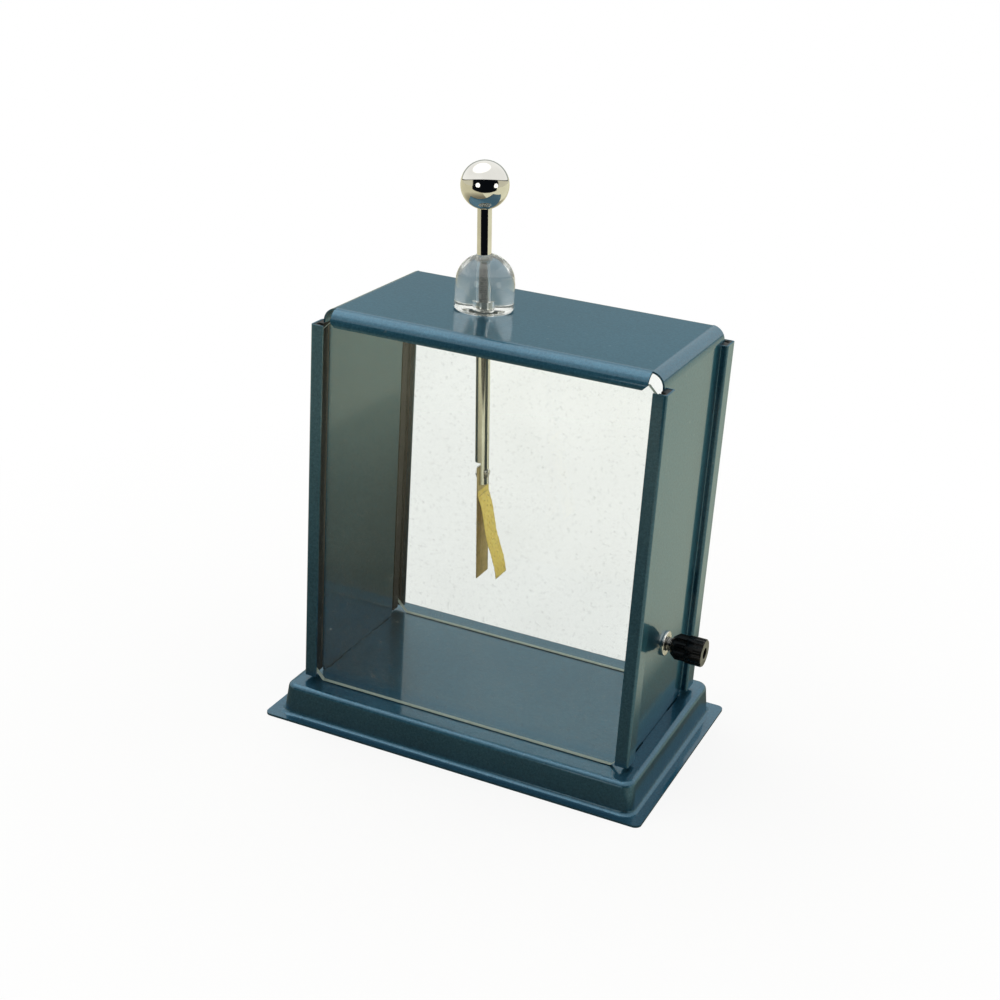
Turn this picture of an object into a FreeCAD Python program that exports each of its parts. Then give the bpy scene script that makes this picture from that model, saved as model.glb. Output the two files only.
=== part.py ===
import FreeCAD, Part
import math
import os

import Sketcher
from FreeCAD import Placement, Rotation, Vector

# Gold leaf electroscope, in millimetres, standing on z = 0 with its base centred on the origin.
# X runs to the right towards the earth terminal, Y runs from the front pane to the rear pane.

DIMENSIONS = {
    # pressed steel base
    "base_sheet": 1.0,
    "base_corner": 3,
    "flange_side": 5.5,
    "flange_front": 4.5,
    "plinth_side": 6.5,
    "plinth_front": 9.5,
    "plinth_height": 15,
    "plinth_draw": 1.5,
    "plinth_corner": 5,
    "plinth_edge": 2.5,
    "foot_fillet": 2,
    # bent sheet case
    "case_length": 155,
    "case_width": 85,
    "case_top": 187,
    "case_sheet": 0.8,
    "case_gap": 0.3,
    "roof_bend": 6,
    "joggle": 3.05,
    "joggle_bend": 1.3,
    "channel_depth": 9.8,
    "strip_width": 5.8,
    "strip_lift": 2.2,
    "strip_drop": 6.8,
    "lip_setback": 1.0,
    "lip_drop": 6.8,
    "lip_end_gap": 8.5,
    "lip_chamfer": 2,
    "relief_setback": 4.5,
    # folded tabs that hold the case down through slots in the base
    "tab_width": 12,
    "tab_spacing": 44,
    "tab_fold": 8,
    "slot_gap": 0.4,
    # window panes and their glazing strips
    "pane_thickness": 2,
    "pane_setback": 1.1,
    "pane_side_gap": 1.0,
    "pane_bottom_gap": 0.4,
    "pane_drop": 4.8,
    "pane_clip": 6.5,
    "strip_gap": 0.1,
    # insulator, seated on the roof at the rod's place
    "rod_x": -19.5,
    "rod_lean": 3,
    "insulator_diameter": 25,
    "insulator_skirt": 11,
    "insulator_foot_edge": 0.6,
    "spigot_diameter": 11.8,
    "spigot_length": 10,
    "spigot_gap": 0.2,
    "thread_gap": 0.05,
    "washer_diameter": 22,
    "washer_thickness": 1.2,
    "insulator_nut_width": 18,
    "insulator_nut_height": 5,
    # conductor: ball, upper rod, lower rod
    "rod_diameter": 6,
    "rod_gap": 0.05,
    "stud_diameter": 4,
    "rod_seat_depth": 4.5,
    "upper_rod_length": 23,
    "ball_diameter": 20,
    "ball_thread_depth": 8,
    "thread_end_gap": 0.6,
    "leaf_rod_rise": 4.2,
    "leaf_rod_drop": 78,
    "leaf_rod_thread": 8,
    "rod_end_chamfer": 0.4,
    "flat_offset": 0.7,
    "flat_length": 10.3,
    # leaf plate, its screw and nut
    "plate_width": 11.2,
    "plate_thickness": 0.5,
    "plate_length": 51.7,
    "plate_overlap": 9,
    "screw_rise": 5.4,
    "screw_diameter": 2.5,
    "screw_gap": 0.1,
    "screw_head_diameter": 3.8,
    "screw_head_height": 1.4,
    "screw_head_round": 0.9,
    "screw_slot_width": 0.5,
    "screw_slot_depth": 0.6,
    "screw_tail": 0.5,
    "spot_face": 1.9,
    "plate_nut_width": 5,
    "plate_nut_height": 2,
    # gold leaf
    "leaf_width": 11,
    "leaf_thickness": 0.1,
    "leaf_length": 38,
    "leaf_fold_height": 2.5,
    "leaf_fold_drop": 1.9,
    "leaf_hinge_gap": 0.15,
    "leaf_open": 13.6,
    "leaf_wave": 0.35,
    # earth terminal on the right side panel
    "terminal_height": 56,
    "stem_diameter": 6,
    "stem_length": 14,
    "stem_tail": 9,
    "stem_gap": 0.2,
    "socket_diameter": 4,
    "socket_depth": 12,
    "ring_diameter": 11,
    "ring_thickness": 1.4,
    "lock_washer_diameter": 11.8,
    "lock_washer_thickness": 1.5,
    "terminal_nut_width": 10,
    "terminal_nut_height": 4,
    "cap_stand_off": 2.35,
    "cap_length": 14.3,
    "cap_neck_diameter": 7.8,
    "cap_shoulder": 2.4,
    "cap_grip_diameter": 11.4,
    "cap_grip_length": 6.6,
    "cap_rim_diameter": 12.2,
    "cap_rim_edge": 0.4,
    "cap_end_wall": 1.5,
    "cap_entry_diameter": 4.6,
    "cap_bore_gap": 0.1,
    "flute_depth": 1.4,
    "flute_diameter": 3.4,
    "rim_flute_depth": 0.45,
    "insert_diameter": 7.2,
    "insert_length": 8,
    "insert_start": 2.6,
}
FLUTES = 9

FRONT_AND_REAR = (-1, 1)
LEFT_AND_RIGHT = (-1, 1)
LEAF_STATIONS = 9
# How far a cut runs past the material it takes away, and a joined form into its neighbour.
LAP = 1
# Width of the flat left at the pole of the insulator's dome.
POLE_FLAT = 0.01


class Size:
    """A length that keeps its number and the sheet formula that it comes from."""

    def __init__(self, value, text):
        self.value = float(value)
        self.text = text

    def joined(self, other, sign, value):
        return Size(value, f"({self.text} {sign} {as_size(other).text})")

    def __add__(self, other):
        return self.joined(other, "+", self.value + as_size(other).value)

    def __radd__(self, other):
        return as_size(other) + self

    def __sub__(self, other):
        return self.joined(other, "-", self.value - as_size(other).value)

    def __rsub__(self, other):
        return as_size(other) - self

    def __mul__(self, other):
        return self.joined(other, "*", self.value * as_size(other).value)

    def __rmul__(self, other):
        return as_size(other) * self

    def __truediv__(self, other):
        return self.joined(other, "/", self.value / as_size(other).value)

    def __neg__(self):
        return self * -1


def as_size(number):
    return number if isinstance(number, Size) else Size(number, f"({number})")


def root(size):
    return Size(math.sqrt(size.value), f"sqrt({size.text})")


doc = FreeCAD.newDocument("Electroscope")
sheet = doc.addObject("Spreadsheet::Sheet", "Dims")


class Sheet:
    """The driving dimensions by name, each bound to its cell."""


dim = Sheet()
for row, (name, number) in enumerate(DIMENSIONS.items(), start=1):
    sheet.set(f"A{row}", name)
    sheet.set(f"B{row}", str(number))
    sheet.setAlias(f"B{row}", name)
    setattr(dim, name, Size(number, f"Dims.{name}"))
doc.recompute()

# Sizes that several pieces share, worked out once from the sheet.
plinth_length = dim.case_length + dim.plinth_side * 2
plinth_width = dim.case_width + dim.plinth_front * 2
strip_bottom = dim.plinth_height + dim.strip_lift
strip_top = dim.case_top - dim.strip_drop
lip_bottom = dim.case_top - dim.lip_drop
lip_length = dim.case_length - dim.lip_end_gap * 2
panel_x = dim.case_length / 2 - dim.joggle
panel_inner_x = panel_x - dim.case_sheet
web_inner_x = dim.case_length / 2 - dim.case_sheet
strip_face_y = dim.case_width / 2
lip_face_y = strip_face_y - dim.lip_setback
step_face_y = strip_face_y - dim.channel_depth
roll_start_y = lip_face_y - dim.roof_bend
relief_y = lip_face_y - dim.relief_setback
roof_underside = dim.case_top - dim.case_sheet
panel_bottom = dim.plinth_height + dim.case_gap
pane_front_y = lip_face_y - dim.pane_setback
pane_rear_y = pane_front_y - dim.pane_thickness
pane_half_length = web_inner_x - dim.pane_side_gap
dome_top = dim.insulator_skirt + dim.insulator_diameter / 2
rod_shoulder = dome_top - dim.rod_seat_depth
rod_radius = dim.rod_diameter / 2
stud_radius = dim.stud_diameter / 2
ball_radius = dim.ball_diameter / 2
ball_seat = root(ball_radius * ball_radius - rod_radius * rod_radius)
upper_rod_top = rod_shoulder + dim.upper_rod_length
ball_centre = upper_rod_top + ball_seat
screw_z = dim.screw_rise - dim.leaf_rod_drop
plate_top = dim.plate_overlap - dim.leaf_rod_drop
plate_bottom = plate_top - dim.plate_length
plate_back = dim.flat_offset - dim.plate_thickness
fold_top = -dim.leaf_rod_drop - dim.leaf_fold_drop
leaf_hinge_z = fold_top - dim.leaf_fold_height - dim.leaf_hinge_gap
stem_radius = dim.stem_diameter / 2
cap_start = dim.ring_thickness + dim.cap_stand_off


def body(label):
    piece = doc.addObject("PartDesign::Body", label)
    piece.Label = label
    return piece


def bind(obj, path, size):
    obj.setExpression(path, as_size(size).text)


def place(piece, x, y, z, axis=Vector(0, 0, 1), angle=0):
    """Puts a piece at x, y, z, turned by an angle about an axis, all bound to the sheet."""
    places = [as_size(x), as_size(y), as_size(z)]
    angle = as_size(angle)
    piece.Placement = Placement(Vector(*[p.value for p in places]), Rotation(axis, angle.value))
    for letter, size in zip("xyz", places):
        bind(piece, f".Placement.Base.{letter}", size)
    if angle.value:
        bind(piece, ".Placement.Rotation.Angle", angle)


def plane(piece, role):
    return next(f for f in piece.Origin.OriginFeatures if f.Role == role)


def sketch_on(piece, role, name, offset=(0, 0, 0), lean=0):
    """A sketch on one of the body's own planes, moved and leant by bound sizes in its axes."""
    sketch = piece.newObject("Sketcher::SketchObject", name)
    sketch.AttachmentSupport = [(plane(piece, role), "")]
    sketch.MapMode = "FlatFace"
    shift = [as_size(part) for part in offset]
    angle = as_size(lean)
    sketch.AttachmentOffset = Placement(
        Vector(*[part.value for part in shift]), Rotation(Vector(0, 0, 1), angle.value)
    )
    for letter, part in zip("xyz", shift):
        bind(sketch, f".AttachmentOffset.Base.{letter}", part)
    if angle.value:
        bind(sketch, ".AttachmentOffset.Rotation.Angle", angle)
    return sketch


def constrain(sketch, kind, *parts, size=None):
    """Adds one constraint, its datum bound to the sheet where a size is given."""
    if size is None:
        sketch.addConstraint(Sketcher.Constraint(kind, *parts))
        return
    index = sketch.addConstraint(Sketcher.Constraint(kind, *parts, size.value))
    sketch.setExpression(f"Constraints[{index}]", size.text)


def pin_point(sketch, geometry, end, x, y):
    constrain(sketch, "DistanceX", -1, 1, geometry, end, size=x)
    constrain(sketch, "DistanceY", -1, 1, geometry, end, size=y)


def outline(sketch, corners):
    """A closed loop of lines through the corners; a corner's third size rounds it with an arc."""
    corners = [tuple(as_size(part) for part in corner) for corner in corners]
    count = len(corners)
    points = [Vector(c[0].value, c[1].value, 0) for c in corners]
    entry, leave, arcs = [], [], {}
    for i, corner in enumerate(corners):
        back = (points[i - 1] - points[i]).normalize()
        ahead = (points[(i + 1) % count] - points[i]).normalize()
        if len(corner) < 3:
            entry.append(points[i])
            leave.append(points[i])
            continue
        half = back.getAngle(ahead) / 2
        radius = corner[2].value
        trim = radius / math.tan(half)
        entry.append(points[i] + back * trim)
        leave.append(points[i] + ahead * trim)
        centre = points[i] + (back + ahead).normalize() * (radius / math.sin(half))
        left_turn = back.cross(ahead).z < 0
        arcs[i] = (centre, radius, left_turn)
    lines = []
    for i in range(count):
        segment = Part.LineSegment(leave[i], entry[(i + 1) % count])
        lines.append(sketch.addGeometry(segment, False))
    for i, corner in enumerate(corners):
        before = lines[i - 1]
        after = lines[i]
        if i not in arcs:
            constrain(sketch, "Coincident", before, 2, after, 1)
            pin_point(sketch, after, 1, corner[0], corner[1])
            continue
        centre, radius, left_turn = arcs[i]
        first, last = (entry[i], leave[i]) if left_turn else (leave[i], entry[i])
        start = math.atan2(first.y - centre.y, first.x - centre.x)
        stop = math.atan2(last.y - centre.y, last.x - centre.x)
        circle_of_arc = Part.Circle(centre, Vector(0, 0, 1), radius)
        arc = sketch.addGeometry(Part.ArcOfCircle(circle_of_arc, start, stop), False)
        mark = sketch.addGeometry(Part.Point(points[i]), True)
        pin_point(sketch, mark, 1, corner[0], corner[1])
        constrain(sketch, "PointOnObject", mark, 1, before)
        constrain(sketch, "PointOnObject", mark, 1, after)
        constrain(sketch, "Tangent", before, 2, arc, 1 if left_turn else 2)
        constrain(sketch, "Tangent", after, 1, arc, 2 if left_turn else 1)
        constrain(sketch, "Radius", arc, size=corner[2])


def rectangle(sketch, x_low, y_low, x_high, y_high, radius=None):
    rounding = () if radius is None else (radius,)
    corners = [(x_low, y_low), (x_high, y_low), (x_high, y_high), (x_low, y_high)]
    outline(sketch, [corner + rounding for corner in corners])


def circle(sketch, x, y, radius):
    x, y, radius = as_size(x), as_size(y), as_size(radius)
    round_line = Part.Circle(Vector(x.value, y.value, 0), Vector(0, 0, 1), radius.value)
    index = sketch.addGeometry(round_line, False)
    pin_point(sketch, index, 3, x, y)
    constrain(sketch, "Radius", index, size=radius)


def hexagon(sketch, width):
    """A regular hexagon about the sketch's centre, given its width across flats."""
    reach = width / math.sqrt(3)
    angles = [math.tau * side / 6 for side in range(6)]
    outline(sketch, [(reach * math.cos(angle), reach * math.sin(angle)) for angle in angles])


def solid_volume(piece):
    doc.recompute()
    return piece.Shape.Volume


def pad(piece, sketch, length, middle=False, reverse=False):
    feature = piece.newObject("PartDesign::Pad", sketch.Name + "_pad")
    feature.Profile = sketch
    feature.SideType = "Symmetric" if middle else "One side"
    feature.Reversed = reverse
    bind(feature, "Length", length)
    return feature


def cut(piece, sketch, length, middle=False, reverse=False):
    """A pocket, refused when it takes nothing away."""
    before = solid_volume(piece)
    feature = piece.newObject("PartDesign::Pocket", sketch.Name + "_cut")
    feature.Profile = sketch
    feature.SideType = "Symmetric" if middle else "One side"
    feature.Reversed = reverse
    bind(feature, "Length", length)
    if not solid_volume(piece) < before:
        raise ValueError(f"{sketch.Name} cuts nothing")
    return feature


def turn(piece, sketch, axis="V_Axis"):
    feature = piece.newObject("PartDesign::Revolution", sketch.Name + "_turned")
    feature.Profile = sketch
    feature.ReferenceAxis = (sketch, [axis])
    return feature


def bore(piece, sketch, axis="V_Axis"):
    before = solid_volume(piece)
    feature = piece.newObject("PartDesign::Groove", sketch.Name + "_bored")
    feature.Profile = sketch
    feature.ReferenceAxis = (sketch, [axis])
    if not solid_volume(piece) < before:
        raise ValueError(f"{sketch.Name} bores nothing")
    return feature


def round_edges(piece, name, radius, wanted):
    """A fillet on the edges of the newest feature whose box satisfies the test."""
    doc.recompute()
    base = piece.Tip
    edges = [f"Edge{i}" for i, edge in enumerate(base.Shape.Edges, start=1) if wanted(edge)]
    if not edges:
        raise ValueError(f"{name} finds no edge")
    feature = piece.newObject("PartDesign::Fillet", name)
    feature.Base = (base, edges)
    bind(feature, "Radius", radius)


def flat_at(height, inside=None):
    """A test for edges that lie at one height, and where asked, within a half length of X."""
    level = as_size(height).value

    def test(edge):
        box = edge.BoundBox
        near = abs(box.ZMin - level) < 1e-4 and abs(box.ZMax - level) < 1e-4
        return near and (inside is None or max(abs(box.XMin), abs(box.XMax)) < inside.value)

    return test


# Base: a drawn steel tray turned upside down, with a flange round its foot.
def make_base():
    piece = body("base_tray")
    flange = sketch_on(piece, "XY_Plane", "flange_outline")
    half_x = plinth_length / 2 + dim.flange_side
    half_y = plinth_width / 2 + dim.flange_front
    rectangle(flange, -half_x, -half_y, half_x, half_y, dim.base_corner)
    pad(piece, flange, dim.base_sheet)
    draw_block(piece, "AdditiveLoft", "plinth", 0, dim.plinth_height)
    foot_limit = plinth_length / 2 + LAP
    round_edges(piece, "plinth_edge_round", dim.plinth_edge, flat_at(dim.plinth_height))
    round_edges(piece, "foot_round", dim.foot_fillet, flat_at(dim.base_sheet, foot_limit))
    draw_block(piece, "SubtractiveLoft", "hollow", dim.base_sheet, dim.plinth_height - dim.base_sheet)
    round_edges(
        piece, "hollow_edge_round", dim.plinth_edge - dim.base_sheet,
        flat_at(dim.plinth_height - dim.base_sheet),
    )
    round_edges(piece, "hollow_mouth_round", dim.foot_fillet, flat_at(0, foot_limit))
    slots = sketch_on(piece, "XY_Plane", "tab_slots")
    outer = panel_x + dim.slot_gap
    inner = panel_inner_x - dim.slot_gap
    half_slot = dim.tab_width / 2 + dim.slot_gap
    for side in LEFT_AND_RIGHT:
        for end in FRONT_AND_REAR:
            centre = end * dim.tab_spacing / 2
            low, high = (inner, outer) if side > 0 else (-outer, -inner)
            rectangle(slots, low, centre - half_slot, high, centre + half_slot)
    cut(piece, slots, dim.plinth_height, reverse=True)


def draw_block(piece, kind, name, wall, height):
    """The drawn block of the base, or its hollow when a wall is given: a loft from foot to top."""
    sections = []
    for level, narrowing in ((0, 0), (height, dim.plinth_draw)):
        section = sketch_on(piece, "XY_Plane", f"{name}_{len(sections)}", (0, 0, level))
        half_x = plinth_length / 2 - narrowing - wall
        half_y = plinth_width / 2 - narrowing - wall
        rectangle(section, -half_x, -half_y, half_x, half_y, dim.plinth_corner - wall)
        sections.append(section)
    loft = piece.newObject(f"PartDesign::{kind}", name)
    loft.Profile = sections[0]
    loft.Sections = [sections[1]]
    loft.Ruled = True


# Case: one sheet, bent over the top, with rolled lips and stepped glazing channels.
def make_case():
    piece = body("case_shell")
    arch = sketch_on(piece, "XZ_Plane", "arch")
    inner_bend = dim.roof_bend - dim.case_sheet
    outline(arch, [
        (-panel_x, panel_bottom), (-panel_inner_x, panel_bottom),
        (-panel_inner_x, roof_underside, inner_bend), (panel_inner_x, roof_underside, inner_bend),
        (panel_inner_x, panel_bottom), (panel_x, panel_bottom),
        (panel_x, dim.case_top, dim.roof_bend), (-panel_x, dim.case_top, dim.roof_bend),
    ])
    pad(piece, arch, relief_y * 2, middle=True)
    # The panels stop short where the channels start, and the roof where the lips roll over.
    panel_end = step_face_y - dim.joggle_bend
    trim = sketch_on(piece, "YZ_Plane", "channel_room")
    for end in FRONT_AND_REAR:
        near, far = panel_end * end, (relief_y + LAP) * end
        low, high = (near, far) if end > 0 else (far, near)
        rectangle(trim, low, panel_bottom - LAP, high, strip_top)
    cut(piece, trim, dim.case_length, middle=True)
    roof_end = sketch_on(piece, "XY_Plane", "roof_end", (0, 0, dim.case_top + LAP))
    for end in FRONT_AND_REAR:
        near, far = roll_start_y * end, (relief_y + LAP) * end
        low, high = (near, far) if end > 0 else (far, near)
        rectangle(roof_end, -lip_length / 2, low, lip_length / 2, high)
    cut(piece, roof_end, dim.case_sheet + 2 * LAP)
    add_lips(piece)
    add_channels(piece, panel_end)
    add_tabs(piece)
    holes = sketch_on(piece, "XY_Plane", "insulator_hole", (0, 0, dim.case_top + LAP))
    circle(holes, dim.rod_x, 0, dim.spigot_diameter / 2 + dim.spigot_gap)
    cut(piece, holes, dim.case_sheet + 2 * LAP)
    side_hole = sketch_on(piece, "YZ_Plane", "terminal_hole", (0, 0, panel_inner_x - LAP))
    circle(side_hole, 0, dim.terminal_height, stem_radius + dim.stem_gap)
    cut(piece, side_hole, dim.case_sheet + 2 * LAP, reverse=True)


def add_lips(piece):
    """The roof's front and rear edges, rolled down, with clipped lower corners."""
    inner_bend = dim.roof_bend - dim.case_sheet
    inner_face = lip_face_y - dim.case_sheet
    for end in FRONT_AND_REAR:
        lip = sketch_on(piece, "YZ_Plane", "front_lip" if end < 0 else "rear_lip")
        root_y = (roll_start_y - LAP) * end
        outline(lip, [
            (root_y, roof_underside), (inner_face * end, roof_underside, inner_bend),
            (inner_face * end, lip_bottom), (lip_face_y * end, lip_bottom),
            (lip_face_y * end, dim.case_top, dim.roof_bend), (root_y, dim.case_top),
        ])
        pad(piece, lip, lip_length, middle=True)
    clip = sketch_on(piece, "XZ_Plane", "lip_corners")
    for side in LEFT_AND_RIGHT:
        tip = (lip_length / 2 + LAP) * side
        outline(clip, [
            (tip, lip_bottom - LAP), (tip, lip_bottom + dim.lip_chamfer + LAP),
            (tip - (dim.lip_chamfer + 2 * LAP) * side, lip_bottom - LAP),
        ])
    cut(piece, clip, strip_face_y * 2, middle=True)


def add_channels(piece, panel_end):
    """The four stepped channels: out by the joggle, along the web, back in along the strip."""
    channels = sketch_on(piece, "XY_Plane", "channels", (0, 0, strip_bottom))
    web_x = dim.case_length / 2
    strip_x = web_x - dim.strip_width
    sheet_t, bend = dim.case_sheet, dim.joggle_bend
    tight = bend - sheet_t
    for side in LEFT_AND_RIGHT:
        for end in FRONT_AND_REAR:
            outline(channels, [
                (panel_x * side, panel_end * end),
                (panel_x * side, step_face_y * end, tight),
                (web_x * side, step_face_y * end, bend),
                (web_x * side, strip_face_y * end, bend),
                (strip_x * side, strip_face_y * end),
                (strip_x * side, (strip_face_y - sheet_t) * end),
                (web_inner_x * side, (strip_face_y - sheet_t) * end, tight),
                (web_inner_x * side, (step_face_y + sheet_t) * end, tight),
                (panel_inner_x * side, (step_face_y + sheet_t) * end, bend),
                (panel_inner_x * side, panel_end * end),
            ])
    pad(piece, channels, strip_top - strip_bottom)


def add_tabs(piece):
    """Four tabs that pass through the base's slots and are folded inwards beneath it."""
    tray_underside = dim.plinth_height - dim.base_sheet
    fold_bottom = tray_underside - dim.case_sheet
    tip = panel_x - dim.tab_fold
    for end in FRONT_AND_REAR:
        name = "front_tabs" if end < 0 else "rear_tabs"
        tabs = sketch_on(piece, "XZ_Plane", name, (0, 0, dim.tab_spacing / -2 * end))
        for side in LEFT_AND_RIGHT:
            outline(tabs, [
                (panel_x * side, panel_bottom), (panel_inner_x * side, panel_bottom),
                (panel_inner_x * side, tray_underside), (tip * side, tray_underside),
                (tip * side, fold_bottom), (panel_x * side, fold_bottom, dim.case_sheet),
            ])
        pad(piece, tabs, dim.tab_width, middle=True)


# Panes: flat glass with clipped corners, held in the channels.
def make_pane(label, end):
    piece = body(label)
    middle = (pane_front_y + pane_rear_y) / -2 * end
    face = sketch_on(piece, "XZ_Plane", label + "_face", (0, 0, middle))
    half = pane_half_length
    low = dim.plinth_height + dim.pane_bottom_gap
    high = dim.case_top - dim.pane_drop
    clip = dim.pane_clip
    outline(face, [
        (-half + clip, low), (half - clip, low), (half, low + clip), (half, high - clip),
        (half - clip, high), (-half + clip, high), (-half, high - clip), (-half, low + clip),
    ])
    pad(piece, face, dim.pane_thickness, middle=True)


# Glazing strips: black rubber pushed into the channels, grooved for the pane's edge.
def make_glazing_strip(label, side, end):
    piece = body(label)
    section = sketch_on(piece, "XY_Plane", label + "_section", (0, 0, strip_bottom))
    outer_x = (web_inner_x - dim.strip_gap) * side
    inner_x = panel_inner_x * side
    front = (strip_face_y - dim.case_sheet - dim.strip_gap) * end
    rear = (step_face_y + dim.case_sheet + dim.strip_gap) * end
    groove_x = (pane_half_length + dim.strip_gap) * side
    groove_front = (pane_front_y + dim.strip_gap) * end
    groove_rear = (pane_rear_y - dim.strip_gap) * end
    corner = dim.joggle_bend - dim.case_sheet
    outline(section, [
        (outer_x, front, corner), (inner_x, front), (inner_x, groove_front),
        (groove_x, groove_front), (groove_x, groove_rear), (inner_x, groove_rear),
        (inner_x, rear), (outer_x, rear, corner),
    ])
    pad(piece, section, strip_top - strip_bottom - dim.strip_gap)


# Insulator: a clear acrylic dome with a threaded spigot through the roof.
def make_insulator():
    piece = body("insulator")
    radius = dim.insulator_diameter / 2
    spigot = dim.spigot_diameter / 2
    profile = sketch_on(piece, "XZ_Plane", "dome_profile")
    outline(profile, [
        (0, -dim.spigot_length), (spigot, -dim.spigot_length), (spigot, 0),
        (radius - dim.insulator_foot_edge, 0), (radius, dim.insulator_foot_edge),
        (radius, dome_top, radius - POLE_FLAT), (0, dome_top),
    ])
    turn(piece, profile)
    bores = sketch_on(piece, "XZ_Plane", "rod_bores", lean=dim.rod_lean)
    wide = rod_radius + dim.rod_gap
    narrow = stud_radius + dim.rod_gap
    above, below = dome_top + LAP, -dim.spigot_length - LAP
    outline(bores, [
        (0, below), (wide, below), (wide, dim.leaf_rod_rise), (narrow, dim.leaf_rod_rise),
        (narrow, rod_shoulder), (wide, rod_shoulder), (wide, above), (0, above),
    ])
    bore(piece, bores)
    place(piece, dim.rod_x, 0, dim.case_top)


def make_insulator_washer():
    piece = body("insulator_washer")
    ring = sketch_on(piece, "XY_Plane", "insulator_washer_ring")
    circle(ring, 0, 0, dim.washer_diameter / 2)
    circle(ring, 0, 0, dim.spigot_diameter / 2 + dim.spigot_gap)
    pad(piece, ring, dim.washer_thickness)
    place(piece, dim.rod_x, 0, roof_underside - dim.washer_thickness)


def make_insulator_nut():
    piece = body("insulator_nut")
    nut = sketch_on(piece, "XY_Plane", "insulator_nut_outline")
    hexagon(nut, dim.insulator_nut_width)
    circle(nut, 0, 0, dim.spigot_diameter / 2 + dim.thread_gap)
    pad(piece, nut, dim.insulator_nut_height)
    place(piece, dim.rod_x, 0, roof_underside - dim.washer_thickness - dim.insulator_nut_height)


def hang(piece):
    """Puts a piece of the conductor on the leaning axis, its zero at the insulator's foot."""
    place(piece, dim.rod_x, 0, dim.case_top, Vector(0, -1, 0), dim.rod_lean)


# Conductor: chromed ball and upper rod, screwed through the insulator into the lower rod.
def make_ball():
    piece = body("ball")
    profile = sketch_on(piece, "XZ_Plane", "ball_profile", (0, ball_centre, 0))
    tap = stud_radius + dim.thread_gap
    tap_top = dim.ball_thread_depth - ball_seat
    half_ball(profile, tap, tap_top)
    turn(piece, profile)
    hang(piece)


def half_ball(sketch, tap, tap_top):
    """Half a ball's section with a flat seat for the rod and a tapped hole above it."""
    seat = Vector(rod_radius.value, -ball_seat.value, 0)
    top = Vector(0, ball_radius.value, 0)
    start = math.atan2(seat.y, seat.x)
    round_line = Part.Circle(Vector(0, 0, 0), Vector(0, 0, 1), ball_radius.value)
    arc = sketch.addGeometry(Part.ArcOfCircle(round_line, start, math.pi / 2), False)
    stops = [(0, ball_radius), (0, tap_top), (tap, tap_top), (tap, -ball_seat)]
    stops = [tuple(as_size(part) for part in stop) for stop in stops]
    ends = [top] + [Vector(x.value, y.value, 0) for x, y in stops[1:]] + [seat]
    lines = [
        sketch.addGeometry(Part.LineSegment(ends[i], ends[i + 1]), False)
        for i in range(len(ends) - 1)
    ]
    constrain(sketch, "Coincident", arc, 3, -1, 1)
    constrain(sketch, "Radius", arc, size=ball_radius)
    constrain(sketch, "Coincident", arc, 2, lines[0], 1)
    constrain(sketch, "PointOnObject", arc, 2, -2)
    for before, after in zip(lines, lines[1:]):
        constrain(sketch, "Coincident", before, 2, after, 1)
    for line, (x, y) in zip(lines[1:], stops[1:]):
        pin_point(sketch, line, 1, x, y)
    constrain(sketch, "Coincident", lines[-1], 2, arc, 1)
    constrain(sketch, "DistanceX", -1, 1, arc, 1, size=rod_radius)


def make_upper_rod():
    piece = body("upper_rod")
    profile = sketch_on(piece, "XZ_Plane", "upper_rod_profile")
    stud_foot = dim.leaf_rod_rise - dim.leaf_rod_thread + dim.thread_end_gap
    stud_head = upper_rod_top + dim.ball_thread_depth - dim.thread_end_gap
    outline(profile, [
        (0, stud_foot), (stud_radius, stud_foot), (stud_radius, rod_shoulder),
        (rod_radius, rod_shoulder), (rod_radius, upper_rod_top), (stud_radius, upper_rod_top),
        (stud_radius, stud_head), (0, stud_head),
    ])
    turn(piece, profile)
    hang(piece)


def make_leaf_rod():
    piece = body("leaf_rod")
    profile = sketch_on(piece, "XZ_Plane", "leaf_rod_profile")
    tap = stud_radius + dim.thread_gap
    rise, drop = dim.leaf_rod_rise, -dim.leaf_rod_drop
    edge = dim.rod_end_chamfer
    outline(profile, [
        (0, drop), (rod_radius - edge, drop), (rod_radius, drop + edge),
        (rod_radius, rise), (tap, rise), (tap, rise - dim.leaf_rod_thread),
        (0, rise - dim.leaf_rod_thread),
    ])
    turn(piece, profile)
    flat = sketch_on(piece, "XZ_Plane", "plate_flat")
    rectangle(flat, -rod_radius - LAP, drop - LAP, dim.flat_offset, drop + dim.flat_length)
    cut(piece, flat, dim.rod_diameter * 2, middle=True)
    seat = sketch_on(piece, "XZ_Plane", "screw_seat")
    reach = dim.screw_head_diameter / 2 + dim.screw_gap
    rectangle(seat, dim.spot_face, screw_z - reach, rod_radius + LAP, screw_z + reach)
    cut(piece, seat, dim.rod_diameter * 2, middle=True)
    hole = sketch_on(piece, "YZ_Plane", "screw_hole")
    circle(hole, 0, screw_z, dim.screw_diameter / 2 + dim.screw_gap)
    cut(piece, hole, dim.rod_diameter * 2, middle=True)
    hang(piece)


# Leaf plate: a thin brass strip screwed to the flat of the lower rod.
def make_leaf_plate():
    piece = body("leaf_plate")
    face = sketch_on(piece, "YZ_Plane", "plate_face", (0, 0, dim.flat_offset))
    rectangle(face, dim.plate_width / -2, plate_bottom, dim.plate_width / 2, plate_top)
    circle(face, 0, screw_z, dim.screw_diameter / 2 + dim.screw_gap)
    pad(piece, face, dim.plate_thickness, reverse=True)
    hang(piece)


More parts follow.
